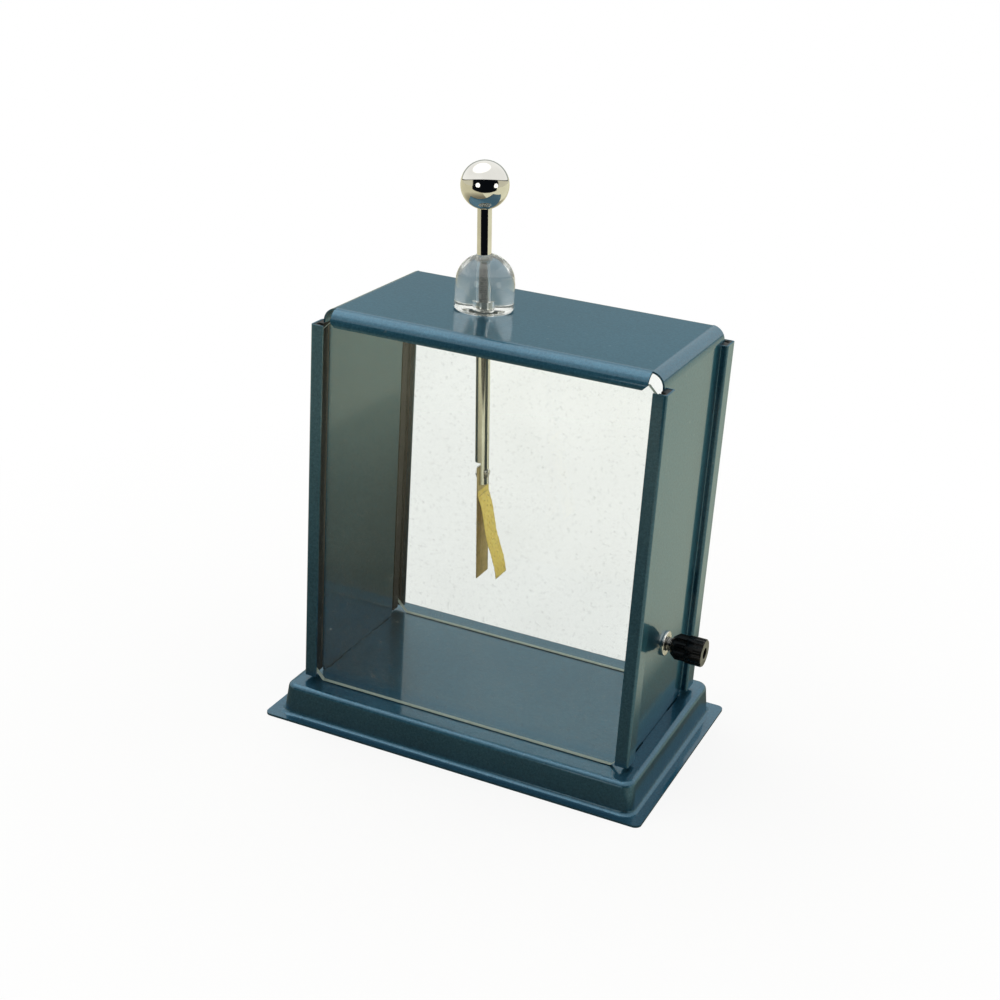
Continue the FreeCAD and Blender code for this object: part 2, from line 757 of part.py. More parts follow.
def make_plate_screw():
    piece = body("plate_screw")
    profile = sketch_on(piece, "XZ_Plane", "screw_profile", (0, screw_z, 0))
    under_head = dim.spot_face
    head_top = under_head + dim.screw_head_height
    tip = plate_back - dim.plate_nut_height - dim.screw_tail
    shank = dim.screw_diameter / 2
    outline(profile, [
        (head_top, 0), (head_top, dim.screw_head_diameter / 2, dim.screw_head_round),
        (under_head, dim.screw_head_diameter / 2), (under_head, shank), (tip, shank), (tip, 0),
    ])
    turn(piece, profile, "H_Axis")
    slot = sketch_on(piece, "XZ_Plane", "screw_slot", (0, screw_z, 0))
    half = dim.screw_slot_width / 2
    rectangle(slot, head_top - dim.screw_slot_depth, -half, head_top + LAP, half)
    cut(piece, slot, dim.screw_head_diameter * 2, middle=True)
    hang(piece)


def make_plate_nut():
    piece = body("plate_nut")
    nut = sketch_on(piece, "YZ_Plane", "plate_nut_outline", (0, screw_z, plate_back))
    hexagon(nut, dim.plate_nut_width)
    circle(nut, 0, 0, dim.screw_diameter / 2 + dim.thread_gap)
    pad(piece, nut, dim.plate_nut_height, reverse=True)
    hang(piece)


# Gold leaf: its glued top edge lies on the plate, and the rest swings about the fold.
def make_leaf_fold():
    piece = body("leaf_fold")
    face = sketch_on(piece, "YZ_Plane", "fold_face", (0, 0, dim.flat_offset))
    half = dim.leaf_width / 2
    rectangle(face, -half, fold_top - dim.leaf_fold_height, half, fold_top)
    pad(piece, face, dim.leaf_thickness)
    hang(piece)


def make_gold_leaf():
    """A thin strip swept along a gentle wave: offset = s sin(open) + wave sin(3 pi s / length)."""
    length = dim.leaf_length.value
    tilt = math.radians(dim.leaf_open.value)
    thickness = dim.leaf_thickness.value
    along = Vector(math.sin(tilt), 0, -math.cos(tilt))
    across = Vector(math.cos(tilt), 0, math.sin(tilt))
    fold = Vector(dim.flat_offset.value + thickness, 0, leaf_hinge_z.value)
    sides = []
    for shift in (0, thickness):
        points = []
        for step in range(LEAF_STATIONS):
            travel = length * step / (LEAF_STATIONS - 1)
            wave = dim.leaf_wave.value * math.sin(3 * math.pi * travel / length)
            points.append(fold + along * travel + across * (wave + shift))
        curve = Part.BSplineCurve()
        curve.interpolate(points)
        sides.append(curve.toShape())
    ends = [
        Part.makeLine(sides[0].Vertexes[i].Point, sides[1].Vertexes[i].Point) for i in (0, -1)
    ]
    section = Part.Face(Part.Wire(Part.__sortEdges__(sides + ends)))
    section.translate(Vector(0, dim.leaf_width.value / -2, 0))
    piece = doc.addObject("Part::Feature", "gold_leaf")
    piece.Shape = section.extrude(Vector(0, dim.leaf_width.value, 0))
    hang(piece)


# Earth terminal, built along its own axis outwards from the side panel.
def mount_terminal(piece):
    place(piece, panel_x, 0, dim.terminal_height, Vector(0, 1, 0), 90)


def make_terminal_stem():
    piece = body("terminal_stem")
    profile = sketch_on(piece, "XZ_Plane", "stem_profile")
    socket = dim.socket_diameter / 2
    edge = dim.rod_end_chamfer
    outline(profile, [
        (0, -dim.stem_tail), (stem_radius - edge, -dim.stem_tail),
        (stem_radius, edge - dim.stem_tail), (stem_radius, dim.stem_length - edge),
        (stem_radius - edge, dim.stem_length), (socket, dim.stem_length),
        (socket, dim.stem_length - dim.socket_depth), (0, dim.stem_length - dim.socket_depth),
    ])
    turn(piece, profile)
    mount_terminal(piece)


def make_terminal_disc(label, diameter, low, thickness, gap):
    piece = body(label)
    ring = sketch_on(piece, "XY_Plane", label + "_ring", (0, 0, low))
    circle(ring, 0, 0, diameter / 2)
    circle(ring, 0, 0, stem_radius + gap)
    pad(piece, ring, thickness)
    mount_terminal(piece)


def make_terminal_nut():
    piece = body("terminal_nut")
    low = -dim.case_sheet - dim.lock_washer_thickness - dim.terminal_nut_height
    nut = sketch_on(piece, "XY_Plane", "terminal_nut_outline", (0, 0, low))
    hexagon(nut, dim.terminal_nut_width)
    circle(nut, 0, 0, stem_radius + dim.thread_gap)
    pad(piece, nut, dim.terminal_nut_height)
    mount_terminal(piece)


def make_terminal_insert():
    piece = body("terminal_insert")
    sleeve = sketch_on(piece, "XY_Plane", "insert_ring", (0, 0, cap_start + dim.insert_start))
    circle(sleeve, 0, 0, dim.insert_diameter / 2)
    circle(sleeve, 0, 0, stem_radius + dim.thread_gap)
    pad(piece, sleeve, dim.insert_length)
    mount_terminal(piece)


def make_terminal_cap():
    """A fluted cap turned as one profile, with deep flutes at its grip and shallow ones at its rim."""
    piece = body("terminal_cap")
    profile = sketch_on(piece, "XZ_Plane", "cap_profile", (0, cap_start, 0))
    neck, grip = dim.cap_neck_diameter / 2, dim.cap_grip_diameter / 2
    rim, edge = dim.cap_rim_diameter / 2, dim.cap_rim_edge
    entry = stem_radius + dim.cap_bore_gap
    pocket = dim.insert_diameter / 2 + dim.rod_gap
    pocket_low = dim.insert_start - dim.rod_gap
    pocket_high = dim.insert_start + dim.insert_length + dim.rod_gap
    end_wall = dim.cap_length - dim.cap_end_wall
    step = dim.cap_grip_length
    outline(profile, [
        (entry, 0), (neck, 0), (grip, dim.cap_shoulder), (grip, step), (rim, step + edge),
        (rim, dim.cap_length - edge), (rim - edge, dim.cap_length),
        (dim.cap_entry_diameter / 2, dim.cap_length), (dim.cap_entry_diameter / 2, end_wall),
        (entry, end_wall), (entry, pocket_high), (pocket, pocket_high), (pocket, pocket_low),
        (entry, pocket_low),
    ])
    turn(piece, profile)
    add_flutes(piece, "grip_flute", cap_start - LAP, step + LAP, grip - dim.flute_depth)
    add_flutes(piece, "rim_flute", cap_start + step, dim.cap_length, rim - dim.rim_flute_depth)
    mount_terminal(piece)


def add_flutes(piece, name, low, length, depth_radius):
    """A ring of round grooves whose bottoms lie at a given radius."""
    groove = sketch_on(piece, "XY_Plane", name, (0, 0, low))
    radius = dim.flute_diameter / 2
    circle(groove, 0, -(depth_radius + radius), radius)
    first = cut(piece, groove, length, reverse=True)
    pattern = piece.newObject("PartDesign::PolarPattern", name + "s")
    pattern.Originals = [first]
    pattern.Axis = (groove, ["N_Axis"])
    pattern.Angle = 360
    pattern.Occurrences = FLUTES
    piece.Tip = pattern


def check_and_write():
    """Refuses failed features or shapes, then writes each piece to its own file."""
    doc.recompute()
    failed = [o.Name for o in doc.Objects if {"Invalid", "Error"} & set(o.State)]
    if failed:
        raise ValueError(f"failed objects: {failed}")
    pieces = [o for o in doc.Objects if o.TypeId in ("PartDesign::Body", "Part::Feature")]
    for piece in pieces:
        if piece.Shape.isNull() or not piece.Shape.isValid() or len(piece.Shape.Solids) != 1:
            raise ValueError(f"{piece.Label} isn't one sound solid")
    os.makedirs("parts", exist_ok=True)
    for piece in pieces:
        piece.Shape.exportStep(f"parts/{piece.Label}.step")
        print(f"{piece.Label}: {piece.Shape.Volume:.1f} mm3")


make_base()
make_case()
make_pane("front_pane", -1)
make_pane("rear_pane", 1)
for side, side_name in zip(LEFT_AND_RIGHT, ("left", "right")):
    for end, end_name in zip(FRONT_AND_REAR, ("front", "rear")):
        make_glazing_strip(f"glazing_strip_{end_name}_{side_name}", side, end)
make_insulator()
make_insulator_washer()
make_insulator_nut()
make_ball()
make_upper_rod()
make_leaf_rod()
make_leaf_plate()
make_plate_screw()
make_plate_nut()
make_leaf_fold()
make_gold_leaf()
make_terminal_stem()
make_terminal_disc("terminal_washer", dim.ring_diameter, 0, dim.ring_thickness, dim.stem_gap)
make_terminal_disc(
    "terminal_lock_washer", dim.lock_washer_diameter,
    -dim.case_sheet - dim.lock_washer_thickness, dim.lock_washer_thickness, dim.stem_gap,
)
make_terminal_nut()
make_terminal_insert()
make_terminal_cap()
check_and_write()
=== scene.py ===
import math

import bmesh
import bpy
import numpy as np
from mathutils import Matrix, Vector


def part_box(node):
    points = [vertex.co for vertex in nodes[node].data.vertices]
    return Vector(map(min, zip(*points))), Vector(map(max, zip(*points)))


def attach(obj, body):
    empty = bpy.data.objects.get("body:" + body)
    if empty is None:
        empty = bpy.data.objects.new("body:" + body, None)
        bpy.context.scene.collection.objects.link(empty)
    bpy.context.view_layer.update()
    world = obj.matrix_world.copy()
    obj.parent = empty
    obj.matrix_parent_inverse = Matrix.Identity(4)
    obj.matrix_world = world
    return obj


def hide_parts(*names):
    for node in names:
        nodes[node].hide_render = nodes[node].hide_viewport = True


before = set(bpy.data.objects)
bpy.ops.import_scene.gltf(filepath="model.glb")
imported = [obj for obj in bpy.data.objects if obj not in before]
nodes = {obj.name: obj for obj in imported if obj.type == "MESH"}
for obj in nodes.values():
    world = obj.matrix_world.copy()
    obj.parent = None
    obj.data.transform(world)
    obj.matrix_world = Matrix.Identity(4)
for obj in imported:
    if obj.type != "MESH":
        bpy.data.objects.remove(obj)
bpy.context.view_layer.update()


# Base: a tray drawn from 1 mm steel, turned over so that its flange is the foot, and painted
# with the case in a glossy hammer enamel. Slots in its top take the case's tabs.
class Wire:
    """A node's output in a material. Arithmetic on wires and numbers adds Math nodes."""

    def __init__(self, tree, socket):
        self.tree = tree
        self.socket = socket

    def node(self, kind, inputs, out=0, **settings):
        """Another node of the same tree, from its kind, values or wires, and settings."""
        new = self.tree.nodes.new("ShaderNode" + kind)
        for name, value in settings.items():
            setattr(new, name, value)
        for name, value in inputs.items():
            if isinstance(value, Wire):
                self.tree.links.new(value.socket, new.inputs[name])
            else:
                new.inputs[name].default_value = value
        return Wire(self.tree, new.outputs[out] if new.outputs else None)

    def math(self, operation, first, second):
        return self.node("Math", {0: first, 1: second}, operation=operation)

    def __add__(self, other):
        return self.math("ADD", self, other)

    __radd__ = __add__

    def __sub__(self, other):
        return self.math("SUBTRACT", self, other)

    def __rsub__(self, other):
        return self.math("SUBTRACT", other, self)

    def __mul__(self, other):
        return self.math("MULTIPLY", self, other)

    __rmul__ = __mul__

    def __pow__(self, power):
        return self.math("POWER", self, power)

    def __abs__(self):
        return self.math("ABSOLUTE", self, 0)

    def most(self, other):
        """The greater of this and another value."""
        return self.math("MAXIMUM", self, other)

    def along(self, direction):
        """How far this vector reaches along a direction, which is their dot product."""
        return self.node(
            "VectorMath", {0: self, 1: direction}, out="Value", operation="DOT_PRODUCT"
        )

    def scaled(self, x, y, z):
        """Coordinates scaled on each axis. Noise over them is drawn out where a scale is small."""
        return self.node("Mapping", {"Vector": self, "Scale": (x, y, z)})

    def over(self, low, high):
        """0 where the value is under low, 1 where it is over high, and even between them."""
        return self.node("MapRange", {"Value": self, "From Min": low, "From Max": high})

    def noise(self, per_metre, detail=3.0, roughness=0.5):
        """Cloudy values about 0.5, with so many clouds to the metre."""
        sizes = {"Vector": self, "Scale": per_metre, "Detail": detail, "Roughness": roughness}
        return self.node("TexNoise", sizes)

    def blend(self, low, high):
        """A colour between low at 0 and high at 1."""
        return self.node(
            "Mix", {"Factor": self, 6: low, 7: high}, out=2, data_type="RGBA", clamp_factor=True
        )

    def bump(self, height, metres):
        return self.node("Bump", {"Height": height, "Distance": metres, "Strength": 1.0})


def new_finish(name):
    """An empty material and the wire of its object coordinates."""
    material = bpy.data.materials.new(name)
    material.use_nodes = True
    material.node_tree.nodes.clear()
    where = material.node_tree.nodes.new("ShaderNodeTexCoord")
    return material, Wire(material.node_tree, where.outputs["Object"])


def principled(place, inputs):
    """Ends a material in one Principled shader with these sockets."""
    shader = place.node("BsdfPrincipled", inputs)
    place.node("OutputMaterial", {"Surface": shader})


def rgb(red, green, blue):
    return (red, green, blue, 1.0)


def dress(piece, material):
    piece.data.materials.clear()
    piece.data.materials.append(material)


def make_blue_enamel():
    """Hammer enamel: metal flake under a clear gloss, dimpled about once in each millimetre."""
    material, place = new_finish("blue_enamel")
    dimples = place.noise(900, detail=2)
    flakes = place.noise(2600, detail=1)
    clouds = place.noise(14, detail=2)
    shade = dimples * 0.35 + flakes * 0.4 + clouds * 0.25
    colour = shade.over(0.36, 0.64).blend(rgb(0.014, 0.064, 0.108), rgb(0.036, 0.120, 0.180))
    dust = place.noise(330, detail=4).over(0.70, 0.78) * 0.2
    colour = dust.blend(colour, rgb(0.30, 0.33, 0.33))
    principled(place, {
        "Base Color": colour,
        "Metallic": 0.82,
        "Roughness": 0.30 + clouds * 0.12,
        "Specular IOR Level": 0.3,
        "Specular Tint": rgb(0.45, 0.72, 0.85),
        "Coat Weight": 0.78 - dust,
        "Coat Roughness": 0.06,
        "Coat IOR": 1.5,
        "Normal": place.bump(dimples * 0.7 + flakes * 0.3, 0.00006),
    })
    return material


enamel = make_blue_enamel()
dress(nodes["base_tray"], enamel)

# Case: one sheet of 0.8 mm steel bent over the top, its front and rear edges rolled down and
# its side edges folded into channels for the windows. Tabs under the base hold it down.
dress(nodes["case_shell"], enamel)


# Glazing strips: four lengths of black rubber pushed into the case's channels, each with a
# groove for the pane's edge. They were cut from an extruded strip, so fine lines run along them.
def make_rubber():
    material, place = new_finish("black_rubber")
    lines = place.scaled(1.0, 1.0, 0.02).noise(1500)
    principled(place, {
        "Base Color": lines.over(0.3, 0.7).blend(
            rgb(0.010, 0.011, 0.012), rgb(0.022, 0.023, 0.024)
        ),
        "Roughness": 0.52 + lines * 0.2,
        "Normal": place.bump(lines, 0.00005),
    })
    return material


rubber = make_rubber()
for end in ("front", "rear"):
    for side in ("left", "right"):
        dress(nodes[f"glazing_strip_{end}_{side}"], rubber)


# Windows: two panes of 2 mm float glass, cut with clipped corners so that they pass the case's
# corner bends, and slid down the grooves of the strips. Their cut edges are ground matt.
def make_window_glass():
    """Clear faces that mirror more as they turn away, with a little dust, and pale ground edges.

    The mirrored share is 0.04 + 0.96 f ** 5, where f is 0 face on and 1 edge on.
    """
    material, place = new_finish("window_glass")
    facing = place.node("LayerWeight", {}, out="Facing")
    mirrored = facing ** 5.0 * 0.96 + 0.04
    smears = place.noise(30, detail=5).over(0.45, 0.8)
    clear = place.node("BsdfTransparent", {"Color": rgb(0.980, 0.990, 0.982)})
    gloss = place.node("BsdfAnisotropic", {"Color": rgb(1, 1, 1), "Roughness": smears * 0.04})
    face = place.node("MixShader", {0: mirrored, 1: clear, 2: gloss})
    through = place.node("TexCoord", {}, out="Normal").along((0.0, 1.0, 0.0))
    edge = 1 - abs(through)
    dust = place.noise(420, detail=5).over(0.60, 0.78) * 0.16 + smears * 0.02
    ground = place.node("BsdfPrincipled", {
        "Base Color": dust.over(0, 0.16).blend(rgb(0.34, 0.41, 0.36), rgb(0.58, 0.60, 0.55)),
        "Roughness": 0.45 + dust,
    })
    whole = place.node("MixShader", {0: edge.over(0.4, 0.6).most(dust), 1: face, 2: ground})
    place.node("OutputMaterial", {"Surface": whole})
    return material


window_glass = make_window_glass()
dress(nodes["front_pane"], window_glass)
dress(nodes["rear_pane"], window_glass)

# Insulator: a dome turned from 25 mm clear acrylic bar, with a screwed spigot through the roof.
# Its bores lean with the conductor that they hold. The tool leaves faint rings round it.
MM = 0.001
dome_low, dome_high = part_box("insulator")
roof_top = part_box("case_shell")[1].z
DOME_RADIUS = (dome_high.y - dome_low.y) / 2
DOME_FOOT = np.array([(dome_low.x + dome_high.x) / 2, 0.0, roof_top])
SPIGOT_RADIUS = 5.9 * MM
SPIGOT_LENGTH = roof_top - dome_low.z
SPIGOT_END_EDGE = 0.3 * MM
SPIGOT_ROOT_EDGE = 0.2 * MM
SKIRT = 11 * MM
FOOT_GAP = 0.03 * MM
FOOT_EDGE = 0.9 * MM
ROD_RADIUS = 3 * MM
STUD_RADIUS = 2 * MM
BORE_GAP = 0.05 * MM
ball_low, ball_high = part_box("ball")
BALL_RADIUS = (ball_high.y - ball_low.y) / 2
BALL_CENTRE = np.array([(ball_low.x + ball_high.x) / 2, 0.0, ball_high.z - BALL_RADIUS])
ROD_AXIS = (BALL_CENTRE - DOME_FOOT) / np.linalg.norm(BALL_CENTRE - DOME_FOOT)
ROD_SIDE = np.array([ROD_AXIS[2], 0.0, -ROD_AXIS[0]])
SHOULDER_DEPTH = 4.5 * MM
ROD_SHOULDER = SKIRT + DOME_RADIUS - SHOULDER_DEPTH
LEAF_ROD_RISE = 4.2 * MM
ARC_STEPS = 6


def turns(count):
    """Angles of one full turn, evenly spaced, without the last, which is the first again."""
    return np.linspace(0, math.tau, count, endpoint=False)


def rounded(corners):
    """A profile through corners (out, along, radius), each turned on an arc of that radius.

    With u and v the unit vectors to the neighbours and h half their angle, the arc's centre lies
    radius / sin h from the corner, and its spokes are blended by their sines.
    """
    corners = np.array(corners, float)
    point, radius = corners[:, :2], corners[:, 2:3]
    u = np.roll(point, 1, axis=0) - point
    v = np.roll(point, -1, axis=0) - point
    u /= np.linalg.norm(u, axis=1, keepdims=True)
    v /= np.linalg.norm(v, axis=1, keepdims=True)
    half = np.arccos(np.clip((u * v).sum(1, keepdims=True), -1, 1)) / 2
    middle = u + v
    middle /= np.linalg.norm(middle, axis=1, keepdims=True)
    centre = point + middle * radius / np.sin(half)
    first = point + u * radius / np.tan(half) - centre
    last = point + v * radius / np.tan(half) - centre
    sweep = math.pi - 2 * half
    share = np.linspace(0, 1, ARC_STEPS)[None, :, None]
    sweep = sweep[:, None, :]
    spoke = np.sin((1 - share) * sweep) * first[:, None] + np.sin(share * sweep) * last[:, None]
    arcs = centre[:, None] + spoke / np.sin(sweep)
    return arcs.reshape(-1, 2)


def on_rod(out_side, out_y, along):
    """Points beside the leaning conductor, measured from its axis at the roof."""
    side = np.asarray(out_side)[..., None] * ROD_SIDE
    along = np.asarray(along)[..., None] * ROD_AXIS
    sideways = np.asarray(out_y)[..., None] * np.array([0.0, 1.0, 0.0])
    return DOME_FOOT + side + sideways + along


def grid_piece(name, grid, body, material, loop=True, around=True, crease=35):
    """A smooth mesh over a grid of points. Its columns close round, and its rows if they loop."""
    rows, columns = grid.shape[:2]
    index = np.arange(rows * columns).reshape(rows, columns)
    right = np.roll(index, -1, axis=1) if around else index[:, 1:]
    near = index if around else index[:, :-1]

    def neighbour_rows(points):
        return (points, np.roll(points, -1, axis=0)) if loop else (points[:-1], points[1:])

    low, high = neighbour_rows(near)
    low_right, high_right = neighbour_rows(right)
    faces = np.stack([low, low_right, high_right, high], axis=-1).reshape(-1, 4)
    mesh = bpy.data.meshes.new(name)
    mesh.from_pydata(grid.reshape(-1, 3).tolist(), [], faces.tolist())
    work = bmesh.new()
    work.from_mesh(mesh)
    bmesh.ops.remove_doubles(work, verts=work.verts, dist=1e-6)
    bmesh.ops.recalc_face_normals(work, faces=work.faces)
    work.to_mesh(mesh)
    work.free()
    mesh.shade_smooth()
    mesh.set_sharp_from_angle(angle=math.radians(crease))
    piece = bpy.data.objects.new(name, mesh)
    bpy.context.scene.collection.objects.link(piece)
    dress(piece, material)
    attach(piece, body)
    return piece


def make_clear_acrylic():
    """Clear plastic, a little milky, with faint turning rings, which lets the light through."""
    material, place = new_finish("clear_acrylic")
    rings = place.scaled(0.03, 0.03, 1.0).noise(5200)
    body = place.node("BsdfPrincipled", {
        "Base Color": rgb(0.965, 0.975, 0.960),
        "Roughness": 0.01 + rings * 0.04,
        "IOR": 1.49,
        "Transmission Weight": 1.0,
        "Normal": place.bump(rings, 0.000004),
    })
    milk = place.node("BsdfDiffuse", {"Color": rgb(0.84, 0.87, 0.83)})
    body = place.node("MixShader", {0: rings * 0.2, 1: body, 2: milk})
    open_to_light = place.node("BsdfTransparent", {"Color": rgb(0.93, 0.94, 0.92)})
    shadow = place.node("LightPath", {}, out="Is Shadow Ray")
    diffuse = place.node("LightPath", {}, out="Is Diffuse Ray")
    mixed = place.node("MixShader", {0: shadow.most(diffuse), 1: body, 2: open_to_light})
    place.node("OutputMaterial", {"Surface": mixed})
    return material


def dome_rings(angle):
    """Rings from the spigot's foot up the outside, over the dome and down the leaning bores.

    Outside they are circles about the upright axis. On the dome they pass evenly from the skirt
    to the bore's mouth, which is where a cylinder on the leaning axis meets the sphere.
    """
    circle = np.stack([np.cos(angle), np.sin(angle), 0 * angle], axis=-1)
    upright = rounded([
        (SPIGOT_RADIUS, -SPIGOT_LENGTH, SPIGOT_END_EDGE),
        (SPIGOT_RADIUS, FOOT_GAP, SPIGOT_ROOT_EDGE), (DOME_RADIUS, FOOT_GAP, FOOT_EDGE),
        (DOME_RADIUS, SKIRT, 0), (0, SKIRT, 0), (0, -SPIGOT_LENGTH, 0),
    ])[:4 * ARC_STEPS]
    outside = DOME_FOOT + circle * upright[:, None, :1] + [0, 0, 1] * upright[:, None, 1:]
    bore = ROD_RADIUS + BORE_GAP
    spoke = bore * (circle[:, :1] * ROD_SIDE + circle[:, 1:2] * [0.0, 1.0, 0.0])
    pole = [0.0, 0.0, SKIRT]
    offset = spoke - pole
    run = offset @ ROD_AXIS
    reach = -run + np.sqrt(run ** 2 - (offset ** 2).sum(-1) + DOME_RADIUS ** 2)
    mouth = spoke + reach[:, None] * ROD_AXIS
    share = np.sin(np.linspace(0, math.pi / 2, 40))[:, None, None]
    flat = (1 - share) * circle[:, :2] * DOME_RADIUS + share * mouth[:, :2]
    height = SKIRT + np.sqrt(np.maximum(DOME_RADIUS ** 2 - (flat ** 2).sum(-1, keepdims=True), 0))
    over = DOME_FOOT + np.concatenate([flat, height], axis=-1)
    stud_bore = STUD_RADIUS + BORE_GAP
    steps = np.array([
        (bore, ROD_SHOULDER), (stud_bore, ROD_SHOULDER), (stud_bore, LEAF_ROD_RISE),
        (bore, LEAF_ROD_RISE), (bore, 0),
    ])
    inside = on_rod(steps[:, :1] * np.cos(angle), steps[:, :1] * np.sin(angle), steps[:, 1:])
    foot = spoke - ROD_AXIS * (SPIGOT_LENGTH + spoke[:, 2:]) / ROD_AXIS[2]
    return np.concatenate([outside, over[1:], inside, (DOME_FOOT + foot)[None]])


acrylic = make_clear_acrylic()
insulator = grid_piece(
    "clear_dome", dome_rings(turns(120)), "instrument", acrylic, crease=30
)
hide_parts("insulator")


# Washer and nut: nickelled steel, tightened on the spigot from inside the case. The washer is
# stamped and the nut is sawn from hexagon bar.
def make_nickel(name="nickel_plate", low=(0.60, 0.58, 0.53), high=(0.74, 0.73, 0.70)):
    """Nickel plate over machined steel, with fine scratches and a little yellow in cloudy stains.
    """
    material, place = new_finish(name)
    scratches = place.scaled(1.0, 0.12, 1.0).noise(2400, detail=4)
    stains = place.noise(160, detail=3)
    principled(place, {
        "Base Color": stains.over(0.35, 0.7).blend(rgb(*low), rgb(*high)),
        "Metallic": 1.0,
        "Roughness": 0.12 + scratches * 0.18 + stains * 0.08,
        "Normal": place.bump(scratches, 0.000006),
    })
    return material


nickel = make_nickel()
for name in ("insulator_washer", "insulator_nut"):
    dress(nodes[name], nickel)


# Conductor: a chromed ball and rod screwed together through the insulator, and a second rod
# below them. The ball is a turned sphere with a flat at its foot for the rod.
def make_chrome(name="chrome_plate", bare_dark_from=0.0, bare_dark_to=0.0):
    """Bright plate over polished steel, left off between two heights, where the steel is dull and
    coloured near black, which is painted shade.
    """
    material, place = new_finish(name)
    haze = place.noise(90, detail=4)
    pits = place.noise(1800, detail=2).over(0.72, 0.8)
    height = place.node("SeparateXYZ", {0: place}, out=2)
    fade = 0.1 * MM
    bare_painted_dark = height.over(bare_dark_from, bare_dark_from + fade) * (1 - height.over(bare_dark_to - fade, bare_dark_to))
    plate = haze.over(0.4, 0.7).blend(rgb(0.66, 0.65, 0.62), rgb(0.76, 0.75, 0.72))
    principled(place, {
        "Base Color": bare_painted_dark.blend(plate, rgb(0.10, 0.10, 0.095)),
        "Metallic": 1.0,
        "Roughness": 0.02 + haze * 0.05 + pits * 0.2 + bare_painted_dark * 0.4,
        "Normal": place.bump(1 - pits, 0.000003),
    })
    return material


def turned(name, profile, material, place=on_rod, count=96, loop=False):
    """A profile (radius, along) carried once round its axis, standing still on the instrument."""
    angle = turns(count)
    profile = np.asarray(profile)
    grid = place(
        profile[:, :1] * np.cos(angle), profile[:, :1] * np.sin(angle),
        profile[:, 1:] + 0 * angle,
    )
    return grid_piece(name, grid, "instrument", material, loop=loop)


chrome = make_chrome()
BALL_HEIGHT = float(np.linalg.norm(BALL_CENTRE - DOME_FOOT))
BALL_SEAT = math.sqrt(BALL_RADIUS ** 2 - ROD_RADIUS ** 2)
ROD_TOP = BALL_HEIGHT - BALL_SEAT
TAP_RADIUS = STUD_RADIUS + BORE_GAP
TAP_DEPTH = 8 * MM
slope = np.linspace(math.acos(BALL_SEAT / BALL_RADIUS), math.pi, 80)
ball_profile = np.concatenate([
    [(0, ROD_TOP + TAP_DEPTH), (TAP_RADIUS, ROD_TOP + TAP_DEPTH), (TAP_RADIUS, ROD_TOP)],
    np.stack([BALL_RADIUS * np.sin(slope), BALL_HEIGHT - BALL_RADIUS * np.cos(slope)], axis=-1),
])
ball = turned("chrome_ball", ball_profile, chrome, count=144)
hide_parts("ball")

THREAD_PITCH = 0.7 * MM
THREAD_DEPTH = 0.22 * MM
STUD_REACH = 7.4 * MM
TAP_ROOM = 0.6 * MM
EDGE_ROW = 0.1 * MM


def threaded(radius, low, high, angle, rows_per_turn=10):
    """A screw thread: the radius falls and rises once in each pitch, and each turn climbs one."""
    rows = int((high - low) / THREAD_PITCH * rows_per_turn)
    along = np.linspace(low, high, rows)[:, None] + 0 * angle
    wave = 0.5 - 0.5 * np.cos(math.tau * along / THREAD_PITCH - angle)
    fade = np.minimum(1, np.minimum(along - low, high - along) / (THREAD_PITCH / 2))
    return radius - THREAD_DEPTH * wave * fade, along


def make_upper_rod(angle):
    """Rows for the lower stud's thread, the polished shank and the upper stud's thread."""
    stud_foot = LEAF_ROD_RISE - STUD_REACH
    stud_head = ROD_TOP + TAP_DEPTH - TAP_ROOM
    lower = threaded(STUD_RADIUS, stud_foot, ROD_SHOULDER, angle)
    upper = threaded(STUD_RADIUS, ROD_TOP, stud_head, angle)
    shank = np.array([
        (ROD_RADIUS, ROD_SHOULDER), (ROD_RADIUS, ROD_SHOULDER + EDGE_ROW),
        (ROD_RADIUS, ROD_TOP - EDGE_ROW), (ROD_RADIUS, ROD_TOP),
    ])
    radius = np.concatenate([
        0 * angle[None], lower[0], shank[:, :1] + 0 * angle, upper[0], 0 * angle[None]
    ])
    along = np.concatenate([
        lower[1][:1], lower[1], shank[:, 1:] + 0 * angle, upper[1], upper[1][-1:]
    ])
    return on_rod(radius * np.cos(angle), radius * np.sin(angle), along)


# The stud's bare thread inside the insulator's bore is coloured near black: painted shade of the
# bore.
rod_chrome = make_chrome(
    "chrome_plate_and_bare_thread_painted_dark", roof_top - LEAF_ROD_RISE, roof_top + ROD_SHOULDER
)
upper_rod = grid_piece(
    "polished_rod", make_upper_rod(turns(72)), "instrument", rod_chrome, loop=False
)
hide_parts("upper_rod")
dress(nodes["leaf_rod"], chrome)


# Leaf plate: a strip of 0.5 mm brass, held on the rod's flat by a small screw and nut. It has
# browned, and wiping along it has left lighter and darker streaks.
def make_plate_brass():
    material, place = new_finish("leaf_plate_brass")
    wiping = place.scaled(1.0, 1.0, 0.06).noise(1300, detail=4)
    patches = place.noise(260, detail=4)
    tone = (wiping * 0.5 + patches * 0.5).over(0.35, 0.65)
    principled(place, {
        "Base Color": tone.blend(rgb(0.46, 0.35, 0.15), rgb(0.76, 0.60, 0.30)),
        "Metallic": 0.9,
        "Roughness": 0.30 + patches * 0.25,
        "Normal": place.bump(wiping, 0.00001),
    })
    return material


dress(nodes["leaf_plate"], make_plate_brass())
for name in ("plate_screw", "plate_nut"):
    dress(nodes[name], nickel)


